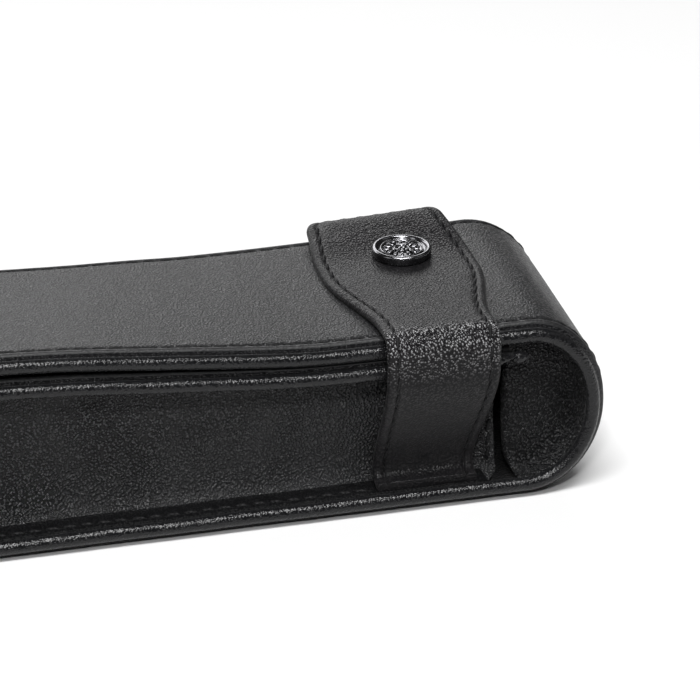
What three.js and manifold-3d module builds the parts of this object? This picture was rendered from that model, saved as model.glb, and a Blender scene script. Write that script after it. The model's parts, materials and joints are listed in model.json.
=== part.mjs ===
// Leather pen case: a stiffened leather strip rolled into a pouch with a flap,
// two recessed side gussets, and a strap with a press stud that holds the flap down.
// Millimetres. +X runs along the case to the mouth end, +Y to the back, +Z up.
// The origin is the middle of the case on the surface that it lies on.
import * as THREE from 'three';
import { mergeVertices } from 'three/addons/utils/BufferGeometryUtils.js';
import Module from 'manifold-3d';

const wasm = await Module();
wasm.setup();

// Whole case
const halfLength = 82.5;
const halfWidth = 23;
const gap = 0.3;

// Rolled ends: each is half an ellipse seen from the front
const mouthBend = { x: 67.5, reach: 15, radius: 17.3 };
const closedBend = { x: -66.5, reach: 16 };

// The flap is level near the strap and rises slowly towards the closed end
const flapHeight = 2 * mouthBend.radius;
const riseFrom = 30;
const riseSlope = 0.05;
const flapEnd = -76;
const innerDrop = 3.9;
const innerPanelEnd = 66.8;

// Layers of a panel, as depths from its outer surface
const leatherDepth = 1.0;
const boardTop = 1.3;
const boardBottom = 2.1;
const liningTop = 2.4;
const panelDepth = 3.0;
const rimWidth = 1.2;
const rimLap = 0.5;
const boardInset = 4;
const boardEndGap = 3;

// Side gussets and divider
const gussetPlane = 14.5;
const gussetThick = 1.0;
const flangeEdge = 20.8;
const flangeTop = panelDepth + gap;
const flangeThick = 0.8;
const earHeight = 12;
const earStart = 0.5;
const dividerThick = 1.0;
const dividerEnds = [-66, 58];

// Strap
const strapX = 50.8;
const strapHalf = 11.3;
const tabHalf = 15.1;
const strapThick = 1.8;
const strapLining = 0.6;
const strapStand = 1.8;
const foldGap = 3.2;
const tabEndGap = 2.0;
const strapReach = halfWidth + strapStand + strapThick;
const foldZ = flapHeight + foldGap + strapThick;
const riserKneeZ = 24;
const riserFoot = { y: -17, z: 6 };
const kneeSpread = 0.2;
const footThick = 0.8;
const lipDrop = 1.8;
const tabStraightEnd = -20;
const tabSpan = tabHalf + 5;

// Press stud
const snap = { x: 52.4, y: 8.4 };
const capRadius = 5.5;
const capThick = 2.0;
const rimRadius = 4.2;
const stemRadius = 1.2;
const socketRadius = 4.4;
const socketBore = 2.9;
const socketPlate = 0.3;
const socketLift = 1.0;
const studRadius = 2.0;
const studBase = 3.6;
const studClear = 3.8;

// Thread
const threadWide = 0.7;
const threadDeep = 0.4;
const ledgeStitchY = 19.2;
const rimStitch = 3.2;
const strapStitch = 1.8;
const riserThreadEnds = [9, foldZ - 3];

const arcSteps = 14;
const farOut = 100;

// Colours
const black = { color: 0x1b1b1d, roughness: 0.62, metalness: 0 };
const liningBlack = { color: 0x161617, roughness: 0.75, metalness: 0 };
const board = { color: 0x6f675c, roughness: 0.9, metalness: 0 };
const thread = { color: 0x101011, roughness: 0.7, metalness: 0 };
const gunmetal = { color: 0x55565a, roughness: 0.22, metalness: 1 };
const steel = { color: 0x9c9da0, roughness: 0.3, metalness: 1 };

const flapTop = (x) => flapHeight + riseSlope * Math.max(0, riseFrom - x);
const innerTop = (x) => flapTop(x) - innerDrop;
const closedRadius = innerTop(closedBend.x) / 2;

// Geometry helpers ----------------------------------------------------------

function toManifold(geometry) {
  const bare = geometry.index ? geometry.toNonIndexed() : geometry.clone();
  bare.deleteAttribute('normal');
  bare.deleteAttribute('uv');
  const merged = mergeVertices(bare, 1e-5);
  return new wasm.Manifold(new wasm.Mesh({
    numProp: 3,
    vertProperties: new Float32Array(merged.attributes.position.array),
    triVerts: new Uint32Array(merged.index.array),
  }));
}

function fromManifold(solid) {
  const mesh = solid.getMesh();
  const geometry = new THREE.BufferGeometry();
  geometry.setAttribute('position', new THREE.BufferAttribute(mesh.vertProperties, 3));
  geometry.setIndex(new THREE.BufferAttribute(mesh.triVerts, 1));
  geometry.computeVertexNormals();
  return geometry;
}

const join = (...parts) => fromManifold(parts.map(toManifold).reduce((a, b) => a.add(b)));
const cut = (base, ...tools) =>
  fromManifold(tools.map(toManifold).reduce((a, b) => a.subtract(b), toManifold(base)));
const overlapOf = (a, b) => fromManifold(toManifold(a).intersect(toManifold(b)));

function shapeOf(points) {
  return new THREE.Shape(points.map(([a, b]) => new THREE.Vector2(a, b)));
}

// A front-view outline (x, z) made solid between two depths in y.
function alongY(points, yFrom, yTo) {
  const solid = new THREE.ExtrudeGeometry(shapeOf(points), { depth: yTo - yFrom, bevelEnabled: false });
  return solid.rotateX(Math.PI / 2).translate(0, yTo, 0);
}

// A side-view outline (y, z) made solid between two places in x.
function alongX(points, xFrom, xTo) {
  const solid = new THREE.ExtrudeGeometry(shapeOf(points), { depth: xTo - xFrom, bevelEnabled: false });
  return solid.rotateX(Math.PI / 2).rotateZ(Math.PI / 2).translate(xFrom, 0, 0);
}

// A plan outline (x, y) made solid between two heights.
function alongZ(points, zFrom, zTo) {
  const solid = new THREE.ExtrudeGeometry(shapeOf(points), { depth: zTo - zFrom, bevelEnabled: false });
  return solid.translate(0, 0, zFrom);
}

function box(x0, x1, y0, y1, z0, z1) {
  return new THREE.BoxGeometry(x1 - x0, y1 - y0, z1 - z0)
    .translate((x0 + x1) / 2, (y0 + y1) / 2, (z0 + z1) / 2);
}

// A turned piece: profile of [radius, height] on the stud's own upright axis.
function turned(profile, z, segments = 32) {
  const points = profile.map(([r, h]) => new THREE.Vector2(r, h));
  return new THREE.LatheGeometry(points, segments)
    .rotateX(Math.PI / 2)
    .translate(snap.x, snap.y, z);
}

function ellipsePoints(cx, cz, a, b, from, to) {
  const points = [];
  for (let i = 0; i <= arcSteps; i += 1) {
    const t = from + ((to - from) * i) / arcSteps;
    points.push([cx + a * Math.cos(t), cz + b * Math.sin(t)]);
  }
  return points;
}

// Outlines ------------------------------------------------------------------

// The case strip at a depth d: mouth bend, bottom, closed bend, inner top panel.
function casePath(d) {
  return [
    ...ellipsePoints(mouthBend.x, mouthBend.radius, mouthBend.reach - d,
      mouthBend.radius - d, -gap / mouthBend.radius, -Math.PI / 2),
    ...ellipsePoints(closedBend.x, closedRadius, closedBend.reach - d,
      closedRadius - d, -Math.PI / 2, -1.5 * Math.PI),
    [riseFrom, innerTop(riseFrom) - d],
    [innerPanelEnd, innerTop(innerPanelEnd) - d],
  ];
}

// The flap strip at a depth d, from its half of the mouth bend to a free end.
function flapPath(d, endX) {
  return [
    ...ellipsePoints(mouthBend.x, mouthBend.radius, mouthBend.reach - d,
      mouthBend.radius - d, gap / mouthBend.radius, Math.PI / 2),
    [riseFrom, flapTop(riseFrom) - d],
    [endX, flapTop(endX) - d],
  ];
}

const caseBand = (d0, d1) => [...casePath(d0), ...casePath(d1).reverse()];
const flapBand = (d0, d1, endX) => [...flapPath(d0, endX), ...flapPath(d1, endX).reverse()];

// A strip under a sloping surface, between two x stations that span the rise.
function underSurface(surface, x0, x1, d0, d1) {
  return [
    [x0, surface(x0) - d0], [riseFrom, surface(riseFrom) - d0], [x1, surface(x1) - d0],
    [x1, surface(x1) - d1], [riseFrom, surface(riseFrom) - d1], [x0, surface(x0) - d1],
  ];
}

// Everything inside the case strip, with the rounded ear that fills the mouth bend.
function gussetOutline() {
  const ear = ellipsePoints(mouthBend.x, mouthBend.radius, mouthBend.reach - flangeTop,
    earHeight, Math.PI / 2, 0);
  const shoulder = [innerPanelEnd + earStart, innerTop(riseFrom) - flangeTop];
  return [...casePath(flangeTop), shoulder, ...ear];
}

// Half of the strap's plan from the fold to the rounded end, widening in an ogee.
function tabOutline() {
  const side = new THREE.Path();
  side.moveTo(strapHalf, -strapReach - 1);
  side.lineTo(strapHalf, tabStraightEnd);
  side.bezierCurveTo(strapHalf, -10, tabHalf, -9, tabHalf, 6);
  side.bezierCurveTo(tabHalf, 15, tabHalf - 0.6, 18, tabHalf - 1.6, 21.5);
  side.bezierCurveTo(tabHalf - 2.6, 25, tabHalf - 4, strapReach, tabHalf - 6.5, strapReach);
  const points = side.getPoints(8).map((p) => [p.x, p.y]);
  const mirrored = points.map(([x, y]) => [-x, y]).reverse();
  return [...points, ...mirrored].map(([x, y]) => [strapX + x, y]);
}

// Height of the tab's underside, which slopes down to the flap's back edge.
function tabUnder(y) {
  const front = -halfWidth - strapStand;
  const t = (y - front) / (halfWidth - front);
  return flapHeight + foldGap + (tabEndGap - foldGap) * t;
}

// Case ----------------------------------------------------------------------

function caseLeather() {
  const rimFront = alongY(caseBand(0, panelDepth), -halfWidth, -halfWidth + rimWidth);
  const rimBack = alongY(caseBand(0, panelDepth), halfWidth - rimWidth, halfWidth);
  const skin = alongY(caseBand(0, leatherDepth), -halfWidth + rimLap, halfWidth - rimLap);
  return join(skin, rimFront, rimBack);
}

function caseLining() {
  const inner = halfWidth - rimWidth - gap;
  return alongY(caseBand(liningTop, panelDepth), -inner, inner);
}

function bottomBoard() {
  const y = halfWidth - boardInset;
  return box(closedBend.x, mouthBend.x, -y, y, boardTop, boardBottom);
}

function innerTopBoard() {
  const y = halfWidth - boardInset;
  const outline = underSurface(innerTop, closedBend.x, innerPanelEnd - boardEndGap, boardTop, boardBottom);
  return alongY(outline, -y, y);
}

function gusset(side) {
  const wallIn = side * gussetPlane;
  const wallOut = side * (gussetPlane + gussetThick);
  const edge = side * flangeEdge;
  const wall = alongY(gussetOutline(), Math.min(wallIn, wallOut), Math.max(wallIn, wallOut));
  const flange = alongY(caseBand(flangeTop, flangeTop + flangeThick),
    Math.min(wallIn, edge), Math.max(wallIn, edge));
  return join(wall, flange);
}

function penDivider() {
  const [x0, x1] = dividerEnds;
  const ceiling = (x) => innerTop(x) - flangeTop;
  const outline = [
    [x0, flangeTop], [x1, flangeTop], [x1, ceiling(x1)],
    [riseFrom, ceiling(riseFrom)], [x0, ceiling(x0)],
  ];
  return alongY(outline, -dividerThick / 2, dividerThick / 2);
}

function strapFoot() {
  const top = flangeTop + flangeThick + gap;
  return box(strapX - strapHalf, strapX + strapHalf, -flangeEdge, riserFoot.y - gap,
    top, top + footThick);
}

// A flat thread run lying on the gusset flange, following the case strip.
function caseThread(side) {
  const depth = flangeTop + flangeThick + gap;
  const y = side * ledgeStitchY;
  const full = alongY(caseBand(depth, depth + threadDeep), y - threadWide / 2, y + threadWide / 2);
  if (side > 0) return full;
  const strapRoom = box(strapX - strapHalf - 1, strapX + strapHalf + 1,
    -halfWidth, -gussetPlane, 0, mouthBend.radius);
  return cutToLongest(full, strapRoom);
}

// Leaves the longer stretch after a cut that parts a run in two.
function cutToLongest(run, room) {
  const pieces = toManifold(run).subtract(toManifold(room)).decompose();
  return fromManifold(pieces.reduce((a, b) => (a.volume() > b.volume() ? a : b)));
}

// Flap ----------------------------------------------------------------------

// An upright cutting tool on the stud's axis.
const studHole = (radius) => turned([[0, 0], [radius, 0], [radius, farOut], [0, farOut]], 0, 20);

function flapLeather() {
  const band = flapBand(0, panelDepth, flapEnd);
  const rimFront = alongY(band, -halfWidth, -halfWidth + rimWidth);
  const rimBack = alongY(band, halfWidth - rimWidth, halfWidth);
  const skin = alongY(flapBand(0, leatherDepth, flapEnd), -halfWidth + rimLap, halfWidth - rimLap);
  const endEdge = box(flapEnd, flapEnd + rimWidth, -halfWidth + rimLap, halfWidth - rimLap,
    flapTop(flapEnd) - panelDepth, flapTop(flapEnd) - rimLap);
  return cut(join(skin, rimFront, rimBack, endEdge), studHole(stemRadius + gap));
}

function flapBoard() {
  const y = halfWidth - boardInset;
  const outline = underSurface(flapTop, flapEnd + boardInset, mouthBend.x, boardTop, boardBottom);
  return cut(alongY(outline, -y, y), studHole(studClear));
}

function flapLining() {
  const inner = halfWidth - rimWidth - gap;
  return alongY(flapBand(liningTop, panelDepth, flapEnd + rimWidth + gap), -inner, inner);
}

// One thread run round the flap's top, near its edges.
function flapThread() {
  const outerY = halfWidth - rimStitch;
  const x0 = flapEnd + rimStitch;
  const run = flapBand(-gap - threadDeep, -gap, x0);
  const front = alongY(run, -outerY, -outerY + threadWide);
  const back = alongY(run, outerY - threadWide, outerY);
  const endRoom = box(x0 - 1, x0 + threadWide, -outerY, outerY, 0, farOut);
  const end = overlapOf(alongY(run, -outerY, outerY), endRoom);
  const nearBend = box(mouthBend.x, farOut, -halfWidth, halfWidth, 0, farOut);
  return cut(join(front, back, end), nearBend);
}

// Strap ---------------------------------------------------------------------

// Side view of the riser between two depths from its inner face, mitred at the fold.
function riserBand(d0, d1) {
  const y = -halfWidth - strapStand;
  const slant = Math.hypot(1, (riserFoot.y - y) / (riserKneeZ - riserFoot.z));
  const mitre = (d) => foldZ - strapThick + d - gap / 2;
  const knee = (d) => riserKneeZ - d * kneeSpread;
  return [
    [y - d0, mitre(d0)], [y - d0, knee(d0)], [riserFoot.y - d0 * slant, riserFoot.z],
    [riserFoot.y - d1 * slant, riserFoot.z], [y - d1, knee(d1)], [y - d1, mitre(d1)],
  ];
}

function riserLayer(d0, d1) {
  return alongX(riserBand(d0, d1), strapX - strapHalf, strapX + strapHalf);
}

// Side view of the tab between two depths from its underside, mitred at the fold.
function tabBand(d0, d1) {
  const mitreY = (d) => -halfWidth - strapStand - d + gap;
  return [
    [mitreY(d0), tabUnder(mitreY(d0)) + d0], [halfWidth, tabUnder(halfWidth) + d0],
    [strapReach, tabUnder(halfWidth) + d0 - lipDrop],
    [strapReach, tabUnder(halfWidth) + d1 - lipDrop],
    [halfWidth, tabUnder(halfWidth) + d1], [mitreY(d1), tabUnder(mitreY(d1)) + d1],
  ];
}

function tabLayer(d0, d1) {
  const slab = alongX(tabBand(d0, d1), strapX - tabSpan, strapX + tabSpan);
  const plan = alongZ(tabOutline(), 0, farOut);
  return cut(overlapOf(slab, plan), studHole(stemRadius + gap));
}

// A thread run along each long side of the tab, joined across its end.
function tabThread() {
  const band = tabBand(strapThick + gap, strapThick + gap + threadDeep);
  const slab = alongX(band, strapX - tabSpan, strapX + tabSpan);
  const shrink = (inset) => tabOutline().map(([x, y]) => {
    const scale = (tabHalf - inset) / tabHalf;
    return [strapX + (x - strapX) * scale, y > 0 ? y - inset : y];
  });
  const outer = alongZ(shrink(strapStitch), 0, farOut);
  const inner = alongZ(shrink(strapStitch + threadWide), -1, farOut + 1);
  const foldRoom = box(strapX - tabSpan, strapX + tabSpan, -farOut, tabStraightEnd, 0, farOut);
  return cut(overlapOf(slab, cut(outer, inner)), foldRoom);
}

function riserThread(side) {
  const run = riserBand(strapThick + gap, strapThick + gap + threadDeep);
  const x = strapX + side * (strapHalf - strapStitch);
  const strip = alongX(run, x - threadWide / 2, x + threadWide / 2);
  return overlapOf(strip, box(0, halfLength, -farOut, 0, ...riserThreadEnds));
}

// Press stud ----------------------------------------------------------------

const tabUnderAtSnap = tabUnder(snap.y);
const capBase = tabUnderAtSnap + strapThick + gap;

function snapCap() {
  return turned([
    [0, 0], [capRadius - 0.3, 0], [capRadius, 0.4], [capRadius, capThick - 0.7],
    [capRadius - 0.35, capThick - 0.15], [capRadius - 0.8, capThick],
    [rimRadius + 0.2, capThick - 0.1], [rimRadius, capThick - 0.4],
    [rimRadius, capThick - 1.3], [0, capThick - 1.3],
  ], capBase);
}

function snapInlay() {
  return turned([[0, 0], [rimRadius - gap, 0], [rimRadius - gap, 0.5], [1.2, 0.7], [0, 0.75]],
    capBase + capThick - 1.0);
}

function snapStem() {
  return turned([[0, 0], [stemRadius, 0], [stemRadius, strapThick + 0.5], [0, strapThick + 0.5]],
    capBase - strapThick - gap - 0.5, 20);
}

function snapSocket() {
  const bottom = flapHeight + socketLift;
  const top = tabUnderAtSnap - gap - bottom;
  return turned([
    [socketBore, 0], [socketRadius, 0], [socketRadius, top], [stemRadius + gap, top],
    [stemRadius + gap, top - socketPlate], [socketBore, top - socketPlate], [socketBore, 0],
  ], bottom);
}

function snapStud() {
  return turned([
    [stemRadius + gap, 0], [studBase, 0], [studBase, 0.3], [studRadius - 0.2, 0.4], [studRadius, 0.9],
    [studRadius - 0.25, 1.2], [stemRadius + gap, 1.2], [stemRadius + gap, 0],
  ], flapHeight + gap);
}

function snapPost() {
  return turned([
    [0, 0], [3.4, 0], [3.4, 0.6], [stemRadius - 0.1, 0.6], [stemRadius - 0.1, 2.5], [0, 2.5],
  ], flapHeight - boardBottom);
}

// Assembly ------------------------------------------------------------------

const whole = new THREE.Group();

function add(name, geometry, look) {
  const mesh = new THREE.Mesh(geometry, new THREE.MeshStandardMaterial(look));
  mesh.name = name;
  whole.add(mesh);
}

add('case_leather', caseLeather(), black);
add('case_lining', caseLining(), liningBlack);
add('bottom_board', bottomBoard(), board);
add('inner_top_board', innerTopBoard(), board);
add('gusset_front', gusset(-1), liningBlack);
add('gusset_back', gusset(1), liningBlack);
add('pen_divider', penDivider(), liningBlack);
add('strap_foot', strapFoot(), black);
add('case_thread_front', caseThread(-1), thread);
add('case_thread_back', caseThread(1), thread);

add('flap_leather', flapLeather(), black);
add('flap_lining', flapLining(), liningBlack);
add('flap_board', flapBoard(), board);
add('flap_thread', flapThread(), thread);
add('snap_stud', snapStud(), steel);
add('snap_post', snapPost(), steel);

add('riser_leather', riserLayer(strapLining + gap, strapThick), black);
add('riser_lining', riserLayer(0, strapLining), liningBlack);
add('riser_thread_left', riserThread(-1), thread);
add('riser_thread_right', riserThread(1), thread);

add('tab_leather', tabLayer(strapLining + gap, strapThick), black);
add('tab_lining', tabLayer(0, strapLining), liningBlack);
add('tab_thread', tabThread(), thread);
add('snap_cap', snapCap(), gunmetal);
add('snap_inlay', snapInlay(), gunmetal);
add('snap_stem', snapStem(), steel);
add('snap_socket', snapSocket(), steel);

export default whole;
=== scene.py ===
"""Looks of a black leather pen case with a flap, side gussets and a snap strap.

Sizes are in millimetres in the case's own frame (+X to the mouth end, +Y to the
back, +Z up) and are turned into metres where a mesh is made.
"""
import json
import math

import bmesh
import bpy
from mathutils import Euler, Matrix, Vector, noise

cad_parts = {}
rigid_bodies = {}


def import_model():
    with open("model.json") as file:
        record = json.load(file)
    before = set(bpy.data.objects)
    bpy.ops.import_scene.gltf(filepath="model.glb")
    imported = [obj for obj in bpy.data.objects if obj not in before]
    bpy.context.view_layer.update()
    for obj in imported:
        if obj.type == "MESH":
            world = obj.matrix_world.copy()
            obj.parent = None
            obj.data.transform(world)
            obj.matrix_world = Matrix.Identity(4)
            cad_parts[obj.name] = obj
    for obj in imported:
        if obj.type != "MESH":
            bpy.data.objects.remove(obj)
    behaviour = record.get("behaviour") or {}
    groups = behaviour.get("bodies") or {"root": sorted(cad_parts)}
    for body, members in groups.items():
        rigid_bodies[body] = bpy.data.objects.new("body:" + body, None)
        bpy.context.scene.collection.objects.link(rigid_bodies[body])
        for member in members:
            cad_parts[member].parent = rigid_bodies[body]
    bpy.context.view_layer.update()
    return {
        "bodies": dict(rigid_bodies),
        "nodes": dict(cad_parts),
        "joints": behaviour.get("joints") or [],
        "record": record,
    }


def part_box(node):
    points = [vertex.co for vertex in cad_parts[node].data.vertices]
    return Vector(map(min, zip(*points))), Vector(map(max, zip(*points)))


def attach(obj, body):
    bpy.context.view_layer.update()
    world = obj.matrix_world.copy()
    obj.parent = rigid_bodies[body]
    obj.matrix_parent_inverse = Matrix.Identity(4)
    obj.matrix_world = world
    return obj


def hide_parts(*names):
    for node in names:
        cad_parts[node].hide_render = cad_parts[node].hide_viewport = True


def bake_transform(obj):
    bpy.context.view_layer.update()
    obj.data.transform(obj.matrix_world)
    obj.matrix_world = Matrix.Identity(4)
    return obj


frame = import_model()

MM = 0.001


def node_box(node):
    """Lowest and highest corner of a CAD node in millimetres."""
    a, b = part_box(node)
    return a / MM, b / MM


SHELL_LOW, SHELL_HIGH = node_box("case_leather")
RISER_LOW, RISER_HIGH = node_box("riser_leather")
CAP_LOW, CAP_HIGH = node_box("snap_cap")

HALF_WIDTH = SHELL_HIGH.y
FLAP_END = node_box("flap_leather")[0].x
MOUTH_REACH = 15
MOUTH_X = SHELL_HIGH.x - MOUTH_REACH
MOUTH_RADIUS = 17.3
CLOSED_REACH = 16
CLOSED_X = SHELL_LOW.x + CLOSED_REACH
FLAP_HEIGHT = 2 * MOUTH_RADIUS
INNER_DROP = 3.9
INNER_END = 64.6
PANEL = 3.0
END_ROUND = 1.2
BEND_MIDDLE_Z = 20

# The flap is level near the strap and rises slowly towards the closed end
RISE_FROM = 30
RISE_SLOPE = 0.05

# The leather's own set: the flap stands off at the front left and at the back right
FRONT_LIFT = 2.6
LIFT_FROM = 34
LIFT_SPAN = 64
TAIL_FROM = -30
BACK_LIFT = 2.5
BACK_FROM = -20
BACK_SPAN = 86
BACK_CURVE = 1.7
SNAP_HOLD = 9
INNER_SAG = 0.8
CROWN = 0.3
CROWN_HALF = 19
WAVE = 0.16
WAVE_LENGTH = 14
RIPPLE = 0.05
RIPPLE_LENGTH = 4

# Rim roll round the edge of each panel
ROLL_RADIUS = 1.3
ROLL_Y = HALF_WIDTH - ROLL_RADIUS
ROLL_DEPTH = 2.4
STITCH_INSET = 3.2
STITCH_Y = HALF_WIDTH - STITCH_INSET
STITCH_PITCH = 3.2
LEDGE_STITCH_Y = 19.2

# Strap
STRAP_X = (RISER_LOW.x + RISER_HIGH.x) / 2 - 0.2
STRAP_HALF = 10.6
TAB_HALF = 14.8
TAB_TAPER = 2.0
STRAP_THICK = 1.8
STRAP_STITCH = 1.95
STRAP_FACE = RISER_LOW.y + STRAP_THICK / 2
STRAP_SPLIT_Z = 30.5
FOLD_RADIUS = 2.3
FOLD_TOP = 36.0
RISER_TOP_Z = 33
FOOT_FLARE = 0.3
FOOT_CUT = 2.6
TAB_CORNER = 6.5
STRAP_RISE = STRAP_THICK / 2
STRAP_GROOVE = 0.42
STRAP_THREAD_RISE = 0.68
STRAP_STITCH_FROM_Z = 8
SPLIT_LAP = 3

# Press stud
SNAP = Vector(((CAP_LOW.x + CAP_HIGH.x) / 2, (CAP_LOW.y + CAP_HIGH.y) / 2, 0))
CAP_RADIUS = (CAP_HIGH.x - CAP_LOW.x) / 2


# Shape helpers -------------------------------------------------------------

def clamp(value):
    return max(0.0, min(1.0, value))


def ease(value):
    t = clamp(value)
    return t * t * (3 - 2 * t)


def soft_ramp(value, softness=8.0):
    """Zero below nothing and the value itself above, with a rounded corner."""
    return (value + math.sqrt(value * value + softness * softness)) / 2


def flap_top(x):
    return FLAP_HEIGHT + RISE_SLOPE * soft_ramp(RISE_FROM - x)


def inner_top(x):
    return flap_top(x) - INNER_DROP


def off_snap(x, y):
    """Nothing at the press stud, which holds the leather down, and one away from it."""
    near = math.hypot(x - SNAP.x, y - SNAP.y) / SNAP_HOLD
    return 1 - math.exp(-near * near)


def lift(x, y):
    """How far the leather's own set raises the flap and the case top."""
    front = FRONT_LIFT * ease((LIFT_FROM - x) / LIFT_SPAN) - RISE_SLOPE * max(0.0, TAIL_FROM - x)
    back = BACK_LIFT * clamp((x - BACK_FROM) / BACK_SPAN) ** BACK_CURVE
    share = clamp((y + HALF_WIDTH) / (2 * HALF_WIDTH))
    return (front + (back - front) * share) * off_snap(x, y)


def inner_sag(x, y, z):
    """How far the case top hangs below the flap towards the closed end, at the front."""
    if z > inner_top(x) + 0.05:
        return 0.0
    return INNER_SAG * ease((LIFT_FROM - x) / LIFT_SPAN) * clamp((20 - y) / 40)


def settle(x, y, z):
    """A point moved by the handmade unevenness that every leather piece shares."""
    grip = ease((z - 6) / 24)
    crown = CROWN * max(0.0, 1 - (y / CROWN_HALF) ** 2) * ease((z - 31) / 2) * off_snap(x, y)
    wave = noise.noise(Vector((x, y, z)) / WAVE_LENGTH) * WAVE
    ripple = noise.noise(Vector((x / RIPPLE_LENGTH + 50, y / RIPPLE_LENGTH, z / RIPPLE_LENGTH))) * RIPPLE
    body = ease(z / PANEL)
    raised = (lift(x, y) - inner_sag(x, y, z)) * grip
    return Vector((x + ripple * body, y + ripple, z + raised + crown + wave * body))


def make_piece(name, points, faces, looks, marks=None):
    """A mesh object from points in millimetres; marks gives each face's material."""
    mesh = bpy.data.meshes.new(name)
    mesh.from_pydata([Vector(p) * MM for p in points], [], faces)
    for look in looks:
        mesh.materials.append(look)
    # The end caps have more corners and stay flat
    mesh.polygons.foreach_set("use_smooth", [len(face) == 4 for face in faces])
    if marks:
        mesh.polygons.foreach_set("material_index", marks)
    form = bmesh.new()
    form.from_mesh(mesh)
    bmesh.ops.remove_doubles(form, verts=form.verts, dist=0.005 * MM)
    bmesh.ops.recalc_face_normals(form, faces=form.faces)
    form.to_mesh(mesh)
    form.free()
    obj = bpy.data.objects.new(name, mesh)
    bpy.context.scene.collection.objects.link(obj)
    return obj


def loft_faces(rows, columns, capped=True):
    """Quads over rows of points whose columns close into a ring."""
    faces = []
    for i in range(rows - 1):
        for j in range(columns):
            k = (j + 1) % columns
            n = i + 1
            faces.append((i * columns + j, i * columns + k, n * columns + k, n * columns + j))
    if capped:
        faces.append(tuple(range(columns)))
        faces.append(tuple((rows - 1) * columns + j for j in range(columns)))
    return faces


def spaced(a, b, step):
    """Values from a to b at about the given step."""
    count = max(1, round(abs(b - a) / step))
    return [a + (b - a) * i / count for i in range(count + 1)]


def with_normals(line, turn):
    """(point, outward normal) along a line of (x, z) points; turn is 1 or -1."""
    stations = []
    for i, (x, z) in enumerate(line):
        x0, z0 = line[max(0, i - 1)]
        x1, z1 = line[min(len(line) - 1, i + 1)]
        size = math.hypot(x1 - x0, z1 - z0)
        stations.append(((x, z), (turn * (z1 - z0) / size, -turn * (x1 - x0) / size)))
    return stations


def walk(line, pitch, start=0.0):
    """Evenly spaced (index, share) places along a line of points."""
    places = []
    goal = start
    done = 0.0
    for i in range(len(line) - 1):
        step = math.dist(line[i], line[i + 1])
        while step > 0 and goal <= done + step:
            places.append((i, (goal - done) / step))
            goal += pitch
        done += step
    return places


# Materials -----------------------------------------------------------------

class Nodes:
    """A short way to build a node material."""

    def __init__(self, name):
        self.material = bpy.data.materials.new(name)
        self.material.use_nodes = True
        self.tree = self.material.node_tree
        self.shader = self.tree.nodes["Principled BSDF"]
        coordinates = self.tree.nodes.new("ShaderNodeTexCoord")
        self.place = coordinates.outputs["Object"]

    def add(self, kind, inputs=None, **settings):
        node = self.tree.nodes.new(kind)
        for key, value in settings.items():
            setattr(node, key, value)
        for key, value in (inputs or {}).items():
            if isinstance(value, bpy.types.NodeSocket):
                self.tree.links.new(value, node.inputs[key])
            else:
                node.inputs[key].default_value = value
        return node

    def noise(self, scale, detail=4.0, rough=0.6):
        inputs = {"Vector": self.place, "Scale": scale, "Detail": detail, "Roughness": rough}
        return self.add("ShaderNodeTexNoise", inputs).outputs["Fac"]

    def ramp(self, value, low_at, high_at, low_to=0.0, high_to=1.0):
        inputs = {"Value": value, "From Min": low_at, "From Max": high_at,
                  "To Min": low_to, "To Max": high_to}
        return self.add("ShaderNodeMapRange", inputs).outputs["Result"]

    def maths(self, operation, a, b, use_clamp=False):
        node = self.add("ShaderNodeMath", {0: a, 1: b}, operation=operation, use_clamp=use_clamp)
        return node.outputs["Value"]

    def pebbles(self, grain):
        """Slightly bent round cells: one at their tops and nothing in the creases between them."""
        bend = self.noise(260, 2.0)
        reach = (0.0009, 0.0009, 0.0009)
        warp = self.add("ShaderNodeVectorMath", {0: reach, 3: bend}, operation="SCALE").outputs["Vector"]
        place = self.add("ShaderNodeVectorMath", {0: self.place, 1: warp}, operation="ADD")
        inputs = {"Vector": place.outputs["Vector"], "Scale": grain, "Smoothness": 0.15}
        cells = self.add("ShaderNodeTexVoronoi", inputs, feature="SMOOTH_F1")
        return self.ramp(cells.outputs["Distance"], 0.15, 0.75, 1.0, 0.0)

    def mix(self, share, a, b):
        node = self.add("ShaderNodeMix", {"Factor": share}, data_type="RGBA")
        for socket, value in ((node.inputs[6], a), (node.inputs[7], b)):
            if isinstance(value, bpy.types.NodeSocket):
                self.tree.links.new(value, socket)
            else:
                socket.default_value = (*value, 1)
        return node.outputs[2]

    def bump(self, height, distance, strength, below=None):
        inputs = {"Height": height, "Distance": distance * MM, "Strength": strength}
        if below:
            inputs["Normal"] = below
        return self.add("ShaderNodeBump", inputs).outputs["Normal"]

    def drive(self, **sockets):
        for key, value in sockets.items():
            socket = self.shader.inputs[key.replace("_", " ")]
            if isinstance(value, bpy.types.NodeSocket):
                self.tree.links.new(value, socket)
            else:
                socket.default_value = value
        return self.material


# Light grey painted on the cell tops along the strap's fold: a painted highlight for the fold's sparkle
FOLD_PAINTED_GLINT = (0.24, 0.24, 0.245)


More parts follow.
